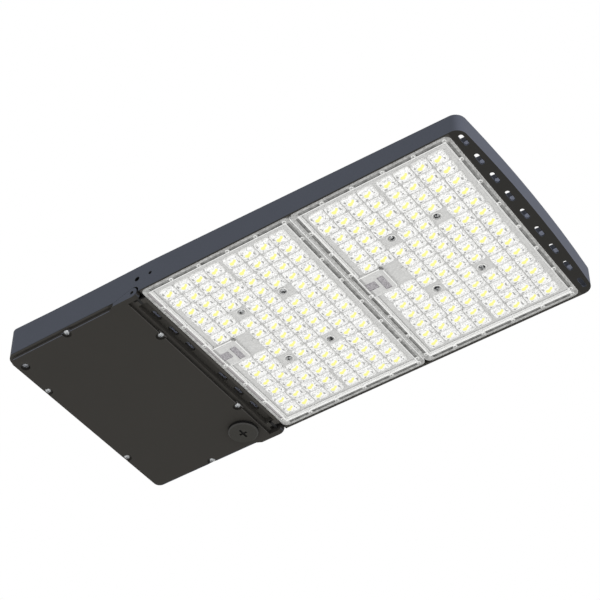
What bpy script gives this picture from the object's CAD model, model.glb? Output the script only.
from math import radians

import bpy
from mathutils import Matrix, Vector


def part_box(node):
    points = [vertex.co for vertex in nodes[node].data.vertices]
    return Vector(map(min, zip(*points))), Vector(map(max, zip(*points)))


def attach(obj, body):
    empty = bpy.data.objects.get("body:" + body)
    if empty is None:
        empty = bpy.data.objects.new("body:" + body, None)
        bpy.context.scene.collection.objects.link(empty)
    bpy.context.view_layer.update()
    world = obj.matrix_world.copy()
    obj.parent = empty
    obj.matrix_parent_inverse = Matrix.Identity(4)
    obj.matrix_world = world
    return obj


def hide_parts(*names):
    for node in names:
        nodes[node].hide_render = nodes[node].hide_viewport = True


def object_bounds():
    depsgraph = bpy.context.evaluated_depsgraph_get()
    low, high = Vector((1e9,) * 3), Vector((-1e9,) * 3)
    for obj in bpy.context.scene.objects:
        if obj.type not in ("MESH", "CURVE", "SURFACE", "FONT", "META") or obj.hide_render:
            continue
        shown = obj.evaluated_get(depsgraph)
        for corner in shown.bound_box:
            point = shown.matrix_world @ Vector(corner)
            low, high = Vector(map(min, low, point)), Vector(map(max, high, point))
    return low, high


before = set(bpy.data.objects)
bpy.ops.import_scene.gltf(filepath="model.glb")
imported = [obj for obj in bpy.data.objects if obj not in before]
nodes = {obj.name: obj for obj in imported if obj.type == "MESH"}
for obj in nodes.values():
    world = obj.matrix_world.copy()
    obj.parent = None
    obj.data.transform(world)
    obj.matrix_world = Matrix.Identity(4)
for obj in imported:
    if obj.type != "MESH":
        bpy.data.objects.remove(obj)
cad_box = [list(corner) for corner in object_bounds()]

# Room: a pale floor well below the light, which hangs with its LEDs facing down, and a white
# surround. The camera sees the surround at full white, and it lights the object a little less.
MM = 0.001
LIGHT_MIDDLE = (0.13, 0, 0)
FLOOR_SIZE, FLOOR_Z = 24, -3.1
LAMP_SIZE = 1.6
LAMPS = (((1.6, -2.2, -1.7), 16), ((-1.8, -1.2, -1.9), 6))
SURROUND_AS_LIGHT, SURROUND_AS_SEEN = 0.94, 1.0
CAMERA_AT = (1.1052, -1.3994, -1.6444)
CAMERA_AXES = ((0.8218, 0.5698, -0.0003), (0.3979, -0.5736, 0.7160), (0.4077, -0.5885, -0.6981))
CAMERA_LENS, CAMERA_SENSOR = 112.8, 36

scene = bpy.context.scene
scene.view_settings.view_transform = "Standard"
bpy.ops.object.camera_add(location=CAMERA_AT)
camera = bpy.context.object
camera.rotation_euler = Matrix(CAMERA_AXES).transposed().to_euler()
camera.data.lens = CAMERA_LENS
camera.data.sensor_width = CAMERA_SENSOR
camera.data.clip_start = 0.05
camera.data.clip_end = 40
scene.camera = camera


class Amount:
    """A number that varies over a surface, held by one output of a material's nodes."""

    def __init__(self, finish, socket):
        self.finish, self.socket = finish, socket

    def maths(self, operation, other=None, flip=False):
        values = [self, other] if not flip else [other, self]
        return self.finish.node(
            "ShaderNodeMath", {"operation": operation},
            {i: v for i, v in enumerate(values) if v is not None})

    def __add__(self, other): return self.maths("ADD", other)
    def __radd__(self, other): return self.maths("ADD", other)
    def __sub__(self, other): return self.maths("SUBTRACT", other)
    def __rsub__(self, other): return self.maths("SUBTRACT", other, True)
    def __mul__(self, other): return self.maths("MULTIPLY", other)
    def __truediv__(self, other): return self.maths("DIVIDE", other)
    def __neg__(self): return self.maths("MULTIPLY", -1.0)
    def __abs__(self): return self.maths("ABSOLUTE")
    def __gt__(self, other): return self.maths("GREATER_THAN", other)
    def __lt__(self, other): return self.maths("LESS_THAN", other)
    def larger(self, other): return self.maths("MAXIMUM", other)
    def smaller(self, other): return self.maths("MINIMUM", other)

    def within(self, low, high):
        """1 between low and high, 0 outside."""
        return (self > low) * (self < high)

    def step(self, low, high):
        """0 below low and 1 above high, smoothly between."""
        return self.finish.node(
            "ShaderNodeMapRange", {"interpolation_type": "SMOOTHSTEP"},
            {"Value": self, "From Min": low, "From Max": high, "To Min": 0.0, "To Max": 1.0})


class Finish:
    """One material, whose nodes come from node()."""

    def __init__(self, name, roughness, metallic=0.0, coat=0.0):
        self.material = bpy.data.materials.new(name)
        self.material.use_nodes = True
        self.tree = self.material.node_tree
        self.shader = next(n for n in self.tree.nodes if n.type == "BSDF_PRINCIPLED")
        for socket, value in (("Roughness", roughness), ("Metallic", metallic),
                              ("Coat Weight", coat), ("IOR", 1.5)):
            self.shader.inputs[socket].default_value = value

    def node(self, kind, settings=None, sockets=None, output=0):
        made = self.tree.nodes.new(kind)
        for key, value in (settings or {}).items():
            setattr(made, key, value)
        for key, value in (sockets or {}).items():
            self.set(made.inputs[key], value)
        return Amount(self, made.outputs[output])

    def set(self, socket, value):
        if isinstance(value, Amount):
            self.tree.links.new(value.socket, socket)
        else:
            socket.default_value = value

    def place(self):
        return self.node("ShaderNodeTexCoord", output="Object")

    def parts(self, vector):
        return [self.node("ShaderNodeSeparateXYZ", sockets={"Vector": vector}, output=i)
                for i in range(3)]

    def grain(self, size, detail=2.0, stretch=None):
        """Speckle of about this size, in metres."""
        where = self.place()
        if stretch:
            where = self.node("ShaderNodeMapping", sockets={"Vector": where, "Scale": stretch})
        return self.node(
            "ShaderNodeTexNoise", {"noise_dimensions": "3D"},
            {"Vector": where, "Scale": 1 / size, "Detail": detail, "Roughness": 0.55})

    def blend(self, mask, below, above):
        """A colour: below where mask is 0, above where it is 1."""
        return self.node(
            "ShaderNodeMix", {"data_type": "RGBA"},
            {"Factor": mask, 6: below, 7: above}, output=2)

    def colour(self, value):
        self.set(self.shader.inputs["Base Color"], value)

    def rough(self, value):
        self.set(self.shader.inputs["Roughness"], value)

    def bump(self, height, depth, strength):
        made = self.node(
            "ShaderNodeBump", None, {"Height": height, "Distance": depth, "Strength": strength},
            output="Normal")
        self.set(self.shader.inputs["Normal"], made)


def paint(code):
    """A colour as it looks on screen, such as 4b505c, in linear light."""
    channels = [int(code[i:i + 2], 16) / 255 for i in (0, 2, 4)]
    return [c / 12.92 if c <= 0.04045 else ((c + 0.055) / 1.055) ** 2.4 for c in channels] + [1.0]


def coat_node(name, finish):
    """Gives a CAD node its finish."""
    mesh = nodes[name].data
    mesh.materials.clear()
    mesh.materials.append(finish.material)


world = bpy.data.worlds.new("surround")
scene.world = world
world.use_nodes = True
world_nodes = world.node_tree.nodes
background = next(n for n in world_nodes if n.type == "BACKGROUND")
seen = world_nodes.new("ShaderNodeLightPath")
either = world_nodes.new("ShaderNodeMath")
either.operation = "MAXIMUM"
world.node_tree.links.new(seen.outputs["Is Camera Ray"], either.inputs[0])
world.node_tree.links.new(seen.outputs["Is Transmission Ray"], either.inputs[1])
level = world_nodes.new("ShaderNodeMapRange")
level.inputs["To Min"].default_value = SURROUND_AS_LIGHT
level.inputs["To Max"].default_value = SURROUND_AS_SEEN
world.node_tree.links.new(either.outputs[0], level.inputs["Value"])
world.node_tree.links.new(level.outputs[0], background.inputs["Strength"])
background.inputs["Color"].default_value = (1, 1, 1, 1)

floor_finish = Finish("floor_paint", roughness=0.9)
floor_finish.colour(floor_finish.blend(
    floor_finish.grain(0.4), paint("f3f3f1"), paint("fafaf8")))
bpy.ops.mesh.primitive_plane_add(size=FLOOR_SIZE, location=(LIGHT_MIDDLE[0], 0, FLOOR_Z))
floor = bpy.context.object
floor.name = "floor"
floor.data.materials.append(floor_finish.material)

for lamp_at, power in LAMPS:
    bpy.ops.object.light_add(type="AREA", location=lamp_at)
    lamp = bpy.context.object
    lamp.data.size = LAMP_SIZE
    lamp.data.energy = power
    aim = Vector(LIGHT_MIDDLE) - Vector(lamp_at)
    lamp.rotation_euler = aim.to_track_quat("-Z", "Y").to_euler()


# Housing: one die-cast aluminium body with driver box, side walls, heat-sink fins and nose. It
# has a fine blue-grey powder coat, which looks neutral and darker on the faces turned down.
BODY_HALF, NOSE_TIP = cad_box[1][1], cad_box[1][0]
POWDER_GRAIN, CLOUD = 1.1 * MM, 90 * MM
GRAIN_SHARE, CLOUD_SHARE, TINT_SHARE = 0.5, 0.35, 0.16


def powder_coat(name, side, front, under, marks):
    """Tones for the sides, the front and the underside, and then one for each of the marks."""
    coat = Finish(name, roughness=0.7)
    coat.shader.inputs["Specular IOR Level"].default_value = 0.18
    nx, _, nz = coat.parts(coat.node("ShaderNodeTexCoord", output="Normal"))
    down = -nz
    cloud = coat.grain(CLOUD, 3.0)
    speck = coat.grain(POWDER_GRAIN)
    x, y, z = coat.parts(coat.place())
    colour = coat.blend(nx.step(0.1, 1.0), side, front)
    colour = coat.blend(down.step(0.45, 0.8), colour, under)
    for mask, tone in marks(x, abs(y), z, down):
        colour = coat.blend(mask, colour, tone)
    tint = coat.blend((cloud - 0.5) * CLOUD_SHARE + (speck - 0.5) * GRAIN_SHARE + 0.5,
                      paint("000000"), paint("ffffff"))
    coat.colour(coat.node(
        "ShaderNodeMix", {"data_type": "RGBA", "blend_type": "SOFT_LIGHT"},
        {"Factor": TINT_SHARE, 6: colour, 7: tint}, output=2))
    coat.rough(0.66 + speck * 0.14)
    coat.bump(speck, 0.06 * MM, 0.5)
    return coat


front_low, front_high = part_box("lens_array_front")
SKIN, HOLLOW_SKIN = 1.2 * MM, 2.2 * MM
WALL_Y = 144 * MM
BASE_TOP_Z, HINGE_TOP_Z = -9 * MM, -4 * MM
REAR_X, FINS_X, LIP_X = -211 * MM, 28.5 * MM, 449 * MM
ARRAY_GAP_MIDDLE, ARRAY_GAP_HALF = 0.9 * MM, 1.2 * MM
HOLLOW_X, HOLLOW_TOP_Z = -15 * MM, 18.2 * MM
NOSE_X, NOSE_Z, NOSE_BEND = 450.5 * MM, (-19.5 * MM, -4 * MM), 0.236
ARM_SLIT_X = (-13.5 * MM, 4.5 * MM)
YOKE_HOLES = ((0.0, 3.6 * MM), (20.4 * MM, 2.5 * MM))
YOKE_HOLE_L = 12 * MM


def housing_marks(x, y, z, down):
    """Dull walls round the lenses, daylight in the slots' hollows, black holes and hinge slits."""
    inside = (z < BASE_TOP_Z).larger((z < HINGE_TOP_Z) * (x < FINS_X)) * (y < BODY_HALF - SKIN)
    yield inside * x.within(REAR_X, LIP_X), paint("3d3b38")
    array_gap = abs(x - front_low.x + ARRAY_GAP_MIDDLE) < ARRAY_GAP_HALF
    yield array_gap * (y < front_high.y) * (down > 0.5) * (z < BASE_TOP_Z), paint("f6f6f6")
    slot_hollow = x.within(HOLLOW_X, FINS_X) * (y < BODY_HALF - HOLLOW_SKIN)
    yield slot_hollow * z.within(BASE_TOP_Z, HOLLOW_TOP_Z), paint("a0a5b6")
    nose_hollow = (x < NOSE_TIP - SKIN - y * y * NOSE_BEND) * (y < WALL_Y)
    yield nose_hollow * (x > NOSE_X) * z.within(*NOSE_Z), paint("a9afc2")
    for hole_x, hole_r in YOKE_HOLES:
        ahead = x - hole_x
        hole = ahead * ahead + z * z < hole_r * hole_r
        yield hole * (y > BODY_HALF - YOKE_HOLE_L), paint("060606")
    yield inside * (y > WALL_Y) * x.within(*ARM_SLIT_X), paint("100f0e")


housing_coat = powder_coat(
    "housing_coat", paint("41454f"), paint("5b5f6c"), paint("282725"), housing_marks)
coat_node("housing", housing_coat)

# Driver cover: a flat die-cast lid with two hinge arms, in a smoother dark coat. It hangs on two
# pins, and six screws close it. The arms' outer faces have the side walls' colour.
COVER_FRONT, COVER_FRONT_HALF = -18 * MM, 145 * MM
COVER_SIDE = BODY_HALF - 3.75 * MM
FRONT_LINE_W, SIDE_LINE_W, SIDE_LINE_OUT = 0.6 * MM, 0.8 * MM, 0.2 * MM
ARMS_X, ARM_SKIN = -45 * MM, 0.6 * MM


def cover_marks(x, y, z, down):
    """Dark edges behind the arms' outer faces, and worn lines along the front and the sides."""
    yield (y < BODY_HALF - ARM_SKIN) * (down < 0.5), paint("2b2927")
    front_line = (x > COVER_FRONT - FRONT_LINE_W) * (y < COVER_FRONT_HALF)
    yield front_line * (down > 0.5), paint("4e4c4b")
    side_line = y.within(COVER_SIDE - SIDE_LINE_W, COVER_SIDE + SIDE_LINE_OUT) * (x < ARMS_X)
    yield side_line * (down > 0.5), paint("575b67")


cover_coat = powder_coat(
    "cover_coat", paint("41454f"), paint("41454f"), paint("302e2b"), cover_marks)
coat_node("driver_cover", cover_coat)

# Port cap: a round cap with a cross slot for a coin, in the cover's dark coat. A quarter turn
# locks it in the socket behind it, on a seal ring.
cap_low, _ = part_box("port_cap")
CAP_FACE = 0.5 * MM


def cap_marks(x, y, z, down):
    """The cross slot's floor is black, and the bevel catches the light."""
    yield (z > cap_low.z + CAP_FACE) * (down > 0.9), paint("0e0d0d")
    yield down.within(0.55, 0.9), paint("403f3e")


cap_coat = powder_coat("cap_coat", paint("121111"), paint("121111"), paint("343330"), cap_marks)
coat_node("port_cap", cap_coat)


# Gaskets and seals: soft moulded rubber, pressed in grooves and holes. It is black at the driver
# cover, the port and the cables, and grey silicone under the lens arrays.
def moulded(name, roughness, dark, light, spot, skin, detail=2.0, coat=0.0):
    """Spots of two tones and of this size, on a skin uneven by a depth and a strength."""
    made = Finish(name, roughness, coat=coat)
    mottle = made.grain(spot, detail)
    made.colour(made.blend(mottle, dark, light))
    made.bump(mottle, *skin)
    return made


black_rubber = moulded("black_rubber", 0.78, paint("141413"), paint("262625"),
                       spot=0.9 * MM, skin=(0.05 * MM, 0.6))
for name in ("cover_gasket", "port_seal", "port_cap_seal", "supply_grommet", "lead_grommet"):
    coat_node(name, black_rubber)

grey_silicone = moulded("grey_silicone", 0.6, paint("6f6f70"), paint("8a8a8b"),
                        spot=1.2 * MM, skin=(0.05 * MM, 0.4))
for name in ("lens_seal_rear", "lens_seal_front", "lead_seals"):
    coat_node(name, grey_silicone)

# Screws and pins: stainless steel pan heads with a cross recess, cold-headed and bright. Those in
# the lens arrays' wells look dark in places, the hinge pins are blackened, and the two earth
# screws are zinc-plated.
stainless = Finish("stainless", roughness=0.3, metallic=1.0)
smudge = stainless.grain(1.6 * MM, 3.0)
stainless.colour(stainless.blend(smudge, paint("8d8f92"), paint("c9cbcd")))
stainless.rough(0.22 + smudge * 0.25)
stainless.bump(stainless.grain(0.3 * MM), 0.02 * MM, 0.4)
for name in ("cover_screws", "driver_screws", "surge_protector_screws",
             "terminal_block_screws", "terminal_screws", "earth_washers"):
    coat_node(name, stainless)

recessed_steel = Finish("recessed_steel", roughness=0.35, metallic=0.9)
smudge = recessed_steel.grain(3.4 * MM, 1.0)
recessed_steel.colour(recessed_steel.blend(
    smudge.step(0.42, 0.56), paint("2a2b2d"), paint("b4b5b6")))
coat_node("module_screws", recessed_steel)

blackened_steel = Finish("blackened_steel", roughness=0.5, metallic=0.6)
smudge = blackened_steel.grain(1.6 * MM, 3.0)
blackened_steel.colour(blackened_steel.blend(smudge, paint("161616"), paint("2a2a2b")))
coat_node("hinge_pins", blackened_steel)

zinc_earth = Finish("zinc_earth", roughness=0.36, metallic=1.0)
smudge = zinc_earth.grain(1.8 * MM, 3.0)
zinc_earth.colour(zinc_earth.blend(smudge.step(0.35, 0.65), paint("5c5d60"), paint("b4b7bd")))
zinc_earth.rough(0.28 + smudge * 0.3)
for name in ("outer_earth_screw", "inner_earth_screw"):
    coat_node(name, zinc_earth)

# LED boards: white solder mask over aluminium, held to the housing by the lens arrays' screws.
# Each LED has a pale yellow phosphor, and a plastic connector takes each board's leads.
board_white = moulded("board_white", 0.45, paint("dfe0df"), paint("f0f0ef"),
                      spot=4 * MM, skin=(0.04 * MM, 0.3), detail=3.0)
led_package = moulded("led_package", 0.35, paint("f4ee7c"), paint("fffbb0"),
                      spot=0.7 * MM, skin=(0.03 * MM, 0.4), coat=0.3)
for end in ("rear", "front"):
    coat_node("led_board_" + end, board_white)
    coat_node("led_chips_" + end, led_package)

connector_plastic = moulded("connector_plastic", 0.4, paint("d8d7d2"), paint("e9e8e4"),
                            spot=3 * MM, skin=(0.03 * MM, 0.3))
coat_node("board_connectors", connector_plastic)


# Lens arrays: one clear moulded acrylic plate over each board, with a raised rim, a dome over
# each LED, a window over the cable and a ring round each screw. Screws press it on its seal.
def select_only(*pieces):
    bpy.ops.object.select_all(action="DESELECT")
    for piece in pieces:
        piece.select_set(True)
    bpy.context.view_layer.objects.active = pieces[0]


def pick(piece, test, faces=True):
    """Selects the faces, or else the edges, that the test takes, and stays in edit mode."""
    select_only(piece)
    mesh = piece.data
    for group in (mesh.vertices, mesh.edges, mesh.polygons):
        group.foreach_set("select", [False] * len(group))
    bpy.ops.object.mode_set(mode="EDIT")
    bpy.ops.mesh.select_mode(type="FACE" if faces else "EDGE")
    bpy.ops.object.mode_set(mode="OBJECT")
    for item in (mesh.polygons if faces else mesh.edges):
        item.select = bool(test(item))
    bpy.ops.object.mode_set(mode="EDIT")


def settled(name):
    """Names the piece just added, with its place and size taken into its mesh."""
    made = bpy.context.object
    bpy.ops.object.transform_apply(location=True, rotation=True, scale=True)
    made.name = made.data.name = name
    return made


def start_block(name, low, high):
    bpy.ops.object.select_all(action="DESELECT")
    middle = [(a + b) / 2 for a, b in zip(low, high)]
    size = [b - a for a, b in zip(low, high)]
    bpy.ops.mesh.primitive_cube_add(size=1, location=middle, scale=size)
    return settled(name)


def start_disc(name, x, y, z0, z1, r, sides):
    bpy.ops.object.select_all(action="DESELECT")
    bpy.ops.mesh.primitive_cylinder_add(
        vertices=sides, radius=r, depth=z1 - z0, location=(x, y, (z0 + z1) / 2))
    return settled(name)


TOUCHING = 1e-6


def edge_ends(piece, edge):
    return [piece.data.vertices[i].co for i in edge.vertices]


def upright_edges(piece):
    def test(edge):
        a, b = edge_ends(piece, edge)
        return abs(a.x - b.x) < TOUCHING and abs(a.y - b.y) < TOUCHING
    return test


def lowest(piece):
    return min(vertex.co.z for vertex in piece.data.vertices)


def low_edges(piece):
    z = lowest(piece)
    return lambda edge: all(abs(end.z - z) < TOUCHING for end in edge_ends(piece, edge))


def bevel(piece, test, width, segments):
    pick(piece, test, faces=False)
    bpy.ops.mesh.bevel(offset=width, segments=segments, affect="EDGES", clamp_overlap=True)
    bpy.ops.object.mode_set(mode="OBJECT")


def underside(face):
    return face.normal.z < -0.95


def push_face(piece, *steps):
    """Insets the lowest flat face and moves it in, once for each pair of inset and depth."""
    z = lowest(piece)
    pick(piece, lambda face: underside(face) and abs(face.center.z - z) < TOUCHING)
    for inset, depth in steps:
        bpy.ops.mesh.inset(thickness=inset, depth=0)
        bpy.ops.mesh.extrude_region_move(TRANSFORM_OT_translate={"value": (0, 0, depth)})
    bpy.ops.object.mode_set(mode="OBJECT")


def join(pieces):
    select_only(*pieces)
    bpy.ops.object.join()
    return pieces[0]


def copied(piece, dx, dy=0.0, name=None):
    made = piece.copy()
    made.data = piece.data.copy()
    bpy.context.collection.objects.link(made)
    made.data.transform(Matrix.Translation((dx, dy, 0)))
    if name:
        made.name = made.data.name = name
    return made


def smooth(piece, angle=35):
    select_only(piece)
    bpy.ops.object.shade_smooth_by_angle(angle=radians(angle))


def carve(piece, tool):
    """Cuts the tool's form out of the piece."""
    select_only(piece)
    bpy.ops.object.modifier_add(type="BOOLEAN")
    modifier = piece.modifiers[-1]
    modifier.operation = "DIFFERENCE"
    modifier.object = tool
    modifier.solver = "EXACT"
    bpy.ops.object.modifier_apply(modifier=modifier.name)
    bpy.data.objects.remove(tool)


array_low, array_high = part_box("lens_array_rear")
array_step = front_low.x - array_low.x
ARRAY_X, ARRAY_L = array_low.x, array_high.x - array_low.x
HALF = array_high.y
RIM_Z = array_low.z
RIM_W, RIM_DEPTH = 8.4 * MM, 2.4 * MM
LEDGE_W, LEDGE_DEPTH = 2.2 * MM, 2.0 * MM
PLATE_Z = RIM_Z + RIM_DEPTH + LEDGE_DEPTH
SUNK = 0.2 * MM
DOME_L, DOME_W, DOME_H = 22.8 * MM, 19.7 * MM, 3.8 * MM


def side_distance(finish):
    """How far a place on either array lies from the array's nearest side."""
    x, y, _ = finish.parts(finish.place())
    along_array = (x - ARRAY_X).maths("FLOORED_MODULO", array_step)
    return along_array.smaller(ARRAY_L - along_array).smaller(HALF - abs(y))


# The plate is a little darker in a strip along the ledge
LEDGE_SHADOW_W = 1.2 * MM
lens_face = Finish("lens_plastic", roughness=0.16, coat=0.2)
flow = lens_face.grain(20 * MM, 3.0)
ripple = lens_face.grain(3.5 * MM, 3.0, stretch=(1.0, 3.0, 1.0))
from_ledge = side_distance(lens_face) - RIM_W - LEDGE_W
plain = lens_face.blend(
    ripple.step(0.35, 0.7) * 0.6 + flow * 0.4, paint("bebebe"), paint("dededd"))
lens_face.colour(lens_face.blend(
    (from_ledge < LEDGE_SHADOW_W) * 0.85, plain, paint("a2a2a2")))
lens_face.bump(ripple, 0.1 * MM, 0.25)

# The rim has dark dots. Its outer edge and its inner side are white, and so is the ledge, with a
# grey line along it
OUTER_LINE_W, INNER_SIDE = 0.4 * MM, 7.8 * MM
LEDGE_LINE, LEDGE_LINE_HALF = 9.6 * MM, 0.5 * MM
lens_rim = Finish("lens_rim", roughness=0.2, coat=0.3)
haze = lens_rim.grain(4 * MM, 3.0)
from_side = side_distance(lens_rim)
dots = lens_rim.grain(1.6 * MM, 1.0)
rim_colour = lens_rim.blend(haze.step(0.3, 0.7), paint("939392"), paint("bcbcbb"))
for mask, tone in (
        (dots.step(0.66, 0.7) * 0.7, "4f4f4f"),
        ((from_side < OUTER_LINE_W) * 0.9, "ffffff"),
        ((from_side > INNER_SIDE) * 0.95, "ffffff"),
        ((abs(from_side - LEDGE_LINE) < LEDGE_LINE_HALF) * 0.8, "b2b2b1")):
    rim_colour = lens_rim.blend(mask, rim_colour, paint(tone))
lens_rim.colour(rim_colour)
lens_rim.bump(haze, 0.1 * MM, 0.2)

# The pockets in the rear array's rear rim are paler than the others
lens_pocket = Finish("lens_pocket", roughness=0.25)
haze = lens_pocket.grain(6 * MM, 3.0)
from_rear = lens_pocket.parts(lens_pocket.place())[0] - ARRAY_X
pocket_colour = lens_pocket.blend(haze.step(0.3, 0.7), paint("6c6c6b"), paint("969695"))
lens_pocket.colour(lens_pocket.blend((from_rear < RIM_W) * 0.8, pocket_colour, paint("b4b0b2")))

lens_wall = Finish("lens_wall", roughness=0.15, coat=0.3)
haze = lens_wall.grain(7 * MM)
lens_wall.colour(lens_wall.blend(haze.step(0.3, 0.7), paint("f6f6f4"), paint("ffffff")))

window_grey = Finish("window_grey", roughness=0.3)
haze = window_grey.grain(1.5 * MM, 3.0)
window_grey.colour(window_grey.blend(haze.step(0.35, 0.65), paint("88858a"), paint("b9b6ba")))

# The dome shows its LED's yellow as soft ellipses in a white halo, with dark spots and bright
# lines. An ellipse is x, y, half length and half width in millimetres from the dome's middle, on
# the dome's own UV map, which runs from 0 to 1 over its length and its width
CHIP_SPOTS = ((-2.2, 0.9, 3.1, 2.6), (1.6, -0.6, 2.2, 1.7), (3.6, -2.2, 1.6, 1.9))
HALO = (0.4, -0.1, 5.6, 4.4)
DARK_SPOTS = ((7.4, 0.8, 1.2, 3.4), (-7.2, -3.6, 1.5, 2.2), (-5.6, 5.8, 2.2, 1.2))
WOBBLE = 1.2
lens_dome = Finish("lens_dome", roughness=0.1, coat=0.4)
u, v, _ = lens_dome.parts(lens_dome.node("ShaderNodeUVMap", {"uv_map": "dome"}))
across = (u - 0.5) * (DOME_L / MM)
along = (v - 0.5) * (DOME_W / MM)
wobble = lens_dome.grain(6 * MM, 3.0) - 0.5
curl = lens_dome.grain(3.4 * MM, 1.5)
streak = lens_dome.grain(3.5 * MM, stretch=(0.6, 1.6, 1.0))


def blob(x, y, half_x, half_y, soft=0.25):
    """1 inside an ellipse in the dome's plan, 0 outside."""
    dx = (across - x + wobble * WOBBLE) / half_x
    dy = (along - y + wobble * WOBBLE) / half_y
    return 1 - (dx * dx + dy * dy).step(1 - soft, 1 + soft)


def blobs(spots):
    first, *others = spots
    made = blob(*first)
    for spot in others:
        made = made.larger(blob(*spot))
    return made


chip = blobs(CHIP_SPOTS)
halo = blob(*HALO, soft=0.5)
dark = blobs(DARK_SPOTS) * (curl > 0.47)
edge = abs(across / (DOME_L / MM / 2)).larger(abs(along / (DOME_W / MM / 2)))
lines = abs(curl - 0.5).step(0.0, 0.06)
body = lens_dome.blend(lines * 0.75 + 0.25, paint("a3a3a2"), paint("ffffff"))
for mask, tone in (
        ((streak > 0.6) * 0.45, "b9b9b8"),
        (edge.step(0.86, 1.0) * 0.5, "ececea"),
        (halo * 0.9, "ffffff"),
        (dark * 0.8, "868685")):
    body = lens_dome.blend(mask, body, paint(tone))
lens_dome.colour(lens_dome.blend(chip, body, paint("fffc96")))
lens_dome.bump(curl, 0.2 * MM, 0.25)

FACE, RIM, POCKET, WALL, GREY, DOME = range(6)
LENS_FINISHES = [lens_face, lens_rim, lens_pocket, lens_wall, window_grey, lens_dome]


def with_finish(piece, index):
    piece.data.materials.clear()
    for finish in LENS_FINISHES:
        piece.data.materials.append(finish.material)
    piece.data.polygons.foreach_set("material_index", [index] * len(piece.data.polygons))
    return piece


# The plate with its rim and ledge. The outer corners are rounder than those of the ledge
OUTER_CORNER, INNER_CORNER, RIM_EDGE = 7 * MM, 1.2 * MM, 0.5 * MM
SLACK = 0.1 * MM
lens = start_block("lens_array_view_rear", array_low, array_high)
push_face(lens, (RIM_W, RIM_DEPTH), (LEDGE_W, LEDGE_DEPTH))
upright = upright_edges(lens)


def out_from_middle(edge):
    return abs(edge_ends(lens, edge)[0].y)


bevel(lens, lambda edge: upright(edge) and out_from_middle(edge) > HALF - SLACK, OUTER_CORNER, 6)
bevel(lens, lambda edge: upright(edge) and out_from_middle(edge) < HALF - RIM_W + SLACK,
      INNER_CORNER, 2)
bevel(lens, low_edges(lens), RIM_EDGE, 2)
with_finish(lens, RIM)
for face in lens.data.polygons:
    if underside(face) and abs(face.center.z - PLATE_Z) < SLACK:
        face.material_index = FACE
    from_outside = min(HALF - abs(face.center.y), face.center.x - ARRAY_X,
                       ARRAY_X + ARRAY_L - face.center.x)
    if from_outside > RIM_W - SLACK and abs(face.normal.z) < 0.5:
        face.material_index = WALL

# Pockets in the rim between its bosses. The bosses' places are in millimetres from the array's
# rear end and from its middle line, and no pocket is cut where two of them stand too close
BOSSES_X = [44, 86, 129, 171, 213]
BOSSES_Y = [-116, -74, -31, 14, 57, 100, 142]
REAR_STOP, FRONT_STOP, SIDE_STOP = 7.5, 6, 6.5
BOSS_TO_POCKET, LEAST_SPACE = 3.4, 12
RIM_MIDDLE = 5.6 * MM
POCKET_HALF, POCKET_DEPTH, POCKET_CORNER = 1.9 * MM, 1.2 * MM, 0.8 * MM
rim_ys = (RIM_MIDDLE - HALF, HALF - RIM_MIDDLE)
rim_xs = (ARRAY_X + RIM_MIDDLE, ARRAY_X + ARRAY_L - RIM_MIDDLE)
pocket_cuts = []


def pocket_spans(stops):
    for a, b in zip(stops, stops[1:]):
        if b - a > LEAST_SPACE:
            yield (a + BOSS_TO_POCKET) * MM, (b - BOSS_TO_POCKET) * MM


def cut_pocket(x0, x1, y0, y1):
    pocket_cuts.append(start_block(
        "pocket", (x0, y0, RIM_Z - MM), (x1, y1, RIM_Z + POCKET_DEPTH)))


for start, end in pocket_spans([REAR_STOP] + BOSSES_X + [ARRAY_L / MM - FRONT_STOP]):
    for y in rim_ys:
        cut_pocket(ARRAY_X + start, ARRAY_X + end, y - POCKET_HALF, y + POCKET_HALF)
for start, end in pocket_spans([SIDE_STOP - HALF / MM] + BOSSES_Y + [HALF / MM - SIDE_STOP]):
    for x in rim_xs:
        cut_pocket(x - POCKET_HALF, x + POCKET_HALF, start, end)
for block in pocket_cuts:
    bevel(block, upright_edges(block), POCKET_CORNER, 2)
    with_finish(block, POCKET)
carve(lens, join(pocket_cuts))
smooth(lens)

# A boss between two pockets, with the mark of its ejector pin, and a rib from it to the plate
BOSS_R, BOSS_PROUD, BOSS_EDGE = 2.3 * MM, 0.4 * MM, 0.4 * MM
PIT_INSET, PIT_DEPTH, PIT_R = 0.3 * MM, 0.8 * MM, 1.7 * MM
RIB_HALF_X, RIB_HALF_Y = 0.9 * MM, 1.3 * MM
RIB_SET_IN, RIB_EDGE = 0.4 * MM, 0.4 * MM
BOSS_TO_RIB = 3.4 * MM
boss_spots = [(ARRAY_X + b * MM, y, 0, -1 if y > 0 else 1) for b in BOSSES_X for y in rim_ys]
boss_spots += [(x, b * MM, inward, 0) for b in BOSSES_Y for x, inward in zip(rim_xs, (1, -1))]
boss = start_disc("boss", 0, 0, RIM_Z - BOSS_PROUD, RIM_Z + MM, BOSS_R, 16)
bevel(boss, low_edges(boss), BOSS_EDGE, 2)
push_face(boss, (PIT_INSET, PIT_DEPTH))
with_finish(boss, WALL)
for face in boss.data.polygons:
    if face.center.z > RIM_Z - BOSS_PROUD + SLACK and face.center.xy.length < PIT_R:
        face.material_index = POCKET
smooth(boss)
rib = start_block("rib", (-RIB_HALF_X, -RIB_HALF_Y, RIM_Z + RIB_SET_IN),
                  (RIB_HALF_X, RIB_HALF_Y, PLATE_Z + SUNK))
bevel(rib, low_edges(rib), RIB_EDGE, 2)
with_finish(rib, RIM)
smooth(rib)
lens_parts = [lens]
for x, y, inward_x, inward_y in boss_spots:
    lens_parts.append(copied(boss, x, y))
    lens_parts.append(copied(rib, x + inward_x * BOSS_TO_RIB, y + inward_y * BOSS_TO_RIB))
bpy.data.objects.remove(boss)
bpy.data.objects.remove(rib)

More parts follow.
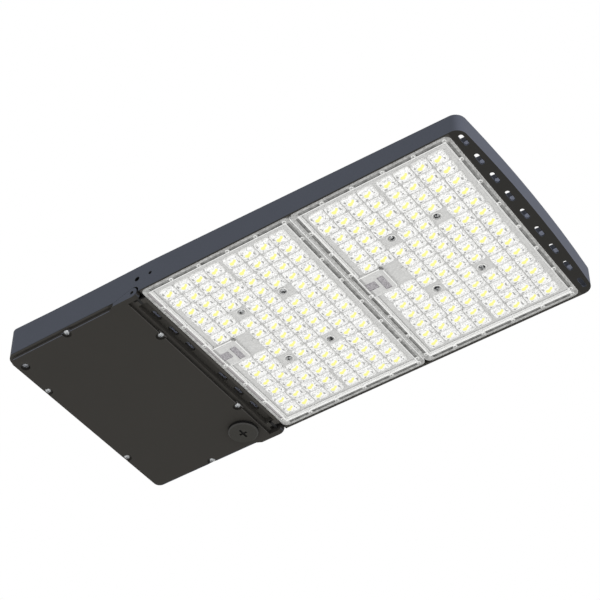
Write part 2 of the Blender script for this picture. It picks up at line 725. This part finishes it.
# One dome, a soft-edged pillow, and its copies. Four screws and the window take places in the
# pattern, and the rear half of the outermost rows is set back a little
COLS, ROWS = 8, 14
COL_PITCH, ROW_PITCH, FIRST_COL = 23.2 * MM, 20 * MM, 30 * MM
DOME_CORNER, DOME_EDGE = 4.5 * MM, 3.2 * MM
SCREW_ROWS, SCREW_COLS = (4, 9), (2, 5)
WINDOW_ROWS, WINDOW_COLS = (6, 7), (0, 1)
SET_BACK, SET_BACK_ROWS, SET_BACK_COLS = 4 * MM, (0, 1, ROWS - 2, ROWS - 1), range(4)
dome = start_block("dome", (-DOME_L / 2, -DOME_W / 2, PLATE_Z - DOME_H),
                   (DOME_L / 2, DOME_W / 2, PLATE_Z + SUNK))
bevel(dome, upright_edges(dome), DOME_CORNER, 3)
bevel(dome, low_edges(dome), DOME_EDGE, 3)
with_finish(dome, DOME)
smooth(dome, 60)
layer = dome.data.uv_layers.new(name="dome")
for loop in dome.data.loops:
    co = dome.data.vertices[loop.vertex_index].co
    layer.data[loop.index].uv = (co.x / DOME_L + 0.5, co.y / DOME_W + 0.5)
for other in [u_map for u_map in dome.data.uv_layers if u_map.name != "dome"]:
    dome.data.uv_layers.remove(other)
for row in range(ROWS):
    for col in range(COLS):
        screw_here = row in SCREW_ROWS and col in SCREW_COLS
        window_here = row in WINDOW_ROWS and col in WINDOW_COLS
        if screw_here or window_here:
            continue
        back = SET_BACK if row in SET_BACK_ROWS and col in SET_BACK_COLS else 0
        lens_parts.append(copied(dome, ARRAY_X + FIRST_COL + col * COL_PITCH - back,
                                 (row - (ROWS - 1) / 2) * ROW_PITCH))
bpy.data.objects.remove(dome)

# A raised ring round each module screw, and the light peg beside the window
SCREW_XS, SCREW_Y = (78.5 * MM, 142.5 * MM), 52 * MM
RING_R, RING_H, RING_EDGE = 6.4 * MM, 1.2 * MM, 0.4 * MM
WELL_INSET, WELL_DEPTH, WELL_WALL = 0.9 * MM, 1.0 * MM, 0.9 * MM
PEG_X, PEG_Y, PEG_R, PEG_H, PEG_EDGE = 63 * MM, -1 * MM, 3.4 * MM, 3 * MM, 1 * MM
for screw_x in SCREW_XS:
    for screw_y in (-SCREW_Y, SCREW_Y):
        ring = start_disc("ring", ARRAY_X + screw_x, screw_y, PLATE_Z - RING_H, PLATE_Z,
                          RING_R, 32)
        bevel(ring, low_edges(ring), RING_EDGE, 2)
        push_face(ring, (WELL_INSET, WELL_DEPTH))
        with_finish(ring, FACE)
        for face in ring.data.polygons:
            if face.center.z < PLATE_Z - WELL_WALL and abs(face.normal.z) < 0.95:
                face.material_index = WALL
        lens_parts.append(ring)
        smooth(ring)
peg = start_disc("peg", ARRAY_X + PEG_X, PEG_Y, PLATE_Z - PEG_H, PLATE_Z, PEG_R, 24)
bevel(peg, low_edges(peg), PEG_EDGE, 3)
lens_parts.append(with_finish(peg, FACE))
smooth(peg)

# The window is a raised box with a dark corner. The cable seal and the connector show through it
# as two grey fields, whose places are x0, x1, y0 and y1 in millimetres
WINDOW_REAR, WINDOW_FRONT, WINDOW_HALF = 5.5 * MM, 43 * MM, 19.5 * MM
WINDOW_SET_IN, WINDOW_CORNER, WINDOW_EDGE = 1 * MM, 4 * MM, 1.2 * MM
PANE_INSET, PANE_DEPTH, PALE_EDGE = 1.0 * MM, 0.5 * MM, 0.6 * MM
DARK_CORNER_X, DARK_CORNER_Y = 36 * MM, -11 * MM
FIELDS = ((13.3, 27.2, -5.5, 7.2), (31.6, 40.5, -8, 15.5))
FIELD_DEPTH, FIELD_CORNER = 2.2 * MM, 1.0 * MM
window_z = RIM_Z + WINDOW_SET_IN
window = start_block("window", (ARRAY_X + WINDOW_REAR, -WINDOW_HALF, window_z),
                     (ARRAY_X + WINDOW_FRONT, WINDOW_HALF, PLATE_Z + SUNK))
bevel(window, upright_edges(window), WINDOW_CORNER, 4)
bevel(window, low_edges(window), WINDOW_EDGE, 2)
push_face(window, (PANE_INSET, PANE_DEPTH))
with_finish(window, FACE)
for face in window.data.polygons:
    corner = face.center.x > ARRAY_X + DARK_CORNER_X and face.center.y < DARK_CORNER_Y
    if abs(face.normal.z) < 0.95 and corner:
        face.material_index = POCKET
    elif abs(face.normal.z) < 0.95 and face.center.z < window_z + PALE_EDGE:
        face.material_index = WALL
fields = []
for x0, x1, y0, y1 in FIELDS:
    field = start_block("field", (x0 * MM, y0 * MM, RIM_Z), (x1 * MM, y1 * MM, RIM_Z + FIELD_DEPTH))
    bevel(field, upright_edges(field), FIELD_CORNER, 2)
    fields.append(with_finish(field, GREY))
carve(window, join(fields))
smooth(window)
lens_parts.append(window)

lens_rear = join(lens_parts)
lens_front = copied(lens_rear, array_step, name="lens_array_view_front")
for piece, node in ((lens_rear, "lens_array_rear"), (lens_front, "lens_array_front")):
    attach(piece, "root")
    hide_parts(node)

# Parts inside the driver box: a metal driver with black end caps, a potted surge protector, a
# terminal block and their leads, all screwed or plugged in and seen when the cover hangs open.
driver_case = Finish("driver_case", roughness=0.35, metallic=0.9)
brushed = driver_case.grain(1.2 * MM, stretch=(0.1, 1.0, 1.0))
driver_case.colour(driver_case.blend(brushed, paint("a9abae"), paint("c9cbcd")))
driver_case.rough(0.3 + brushed * 0.2)
coat_node("led_driver", driver_case)

black_plastic = moulded("black_plastic", 0.5, paint("1b1b1c"), paint("2b2b2c"),
                        spot=1.2 * MM, skin=(0.05 * MM, 0.5))
for name in ("driver_end_caps", "surge_protector", "screw_retainers", "port_socket", "port_nut"):
    coat_node(name, black_plastic)

terminal_plastic = moulded("terminal_plastic", 0.45, paint("d8d3c2"), paint("e9e5d8"),
                           spot=2 * MM, skin=(0.04 * MM, 0.4))
coat_node("terminal_block", terminal_plastic)

JACKETS = {"board_leads": "8f1f1c", "driver_leads": "2a2a2c", "surge_leads": "3a3a3c"}
PALER = 1.35
for name, code in JACKETS.items():
    *channels, alpha = paint(code)
    paler = [min(1.0, channel * PALER) for channel in channels] + [alpha]
    coat_node(name, moulded(name + "_jacket", 0.42, paint(code), paler,
                            spot=2 * MM, skin=(0.03 * MM, 0.3)))
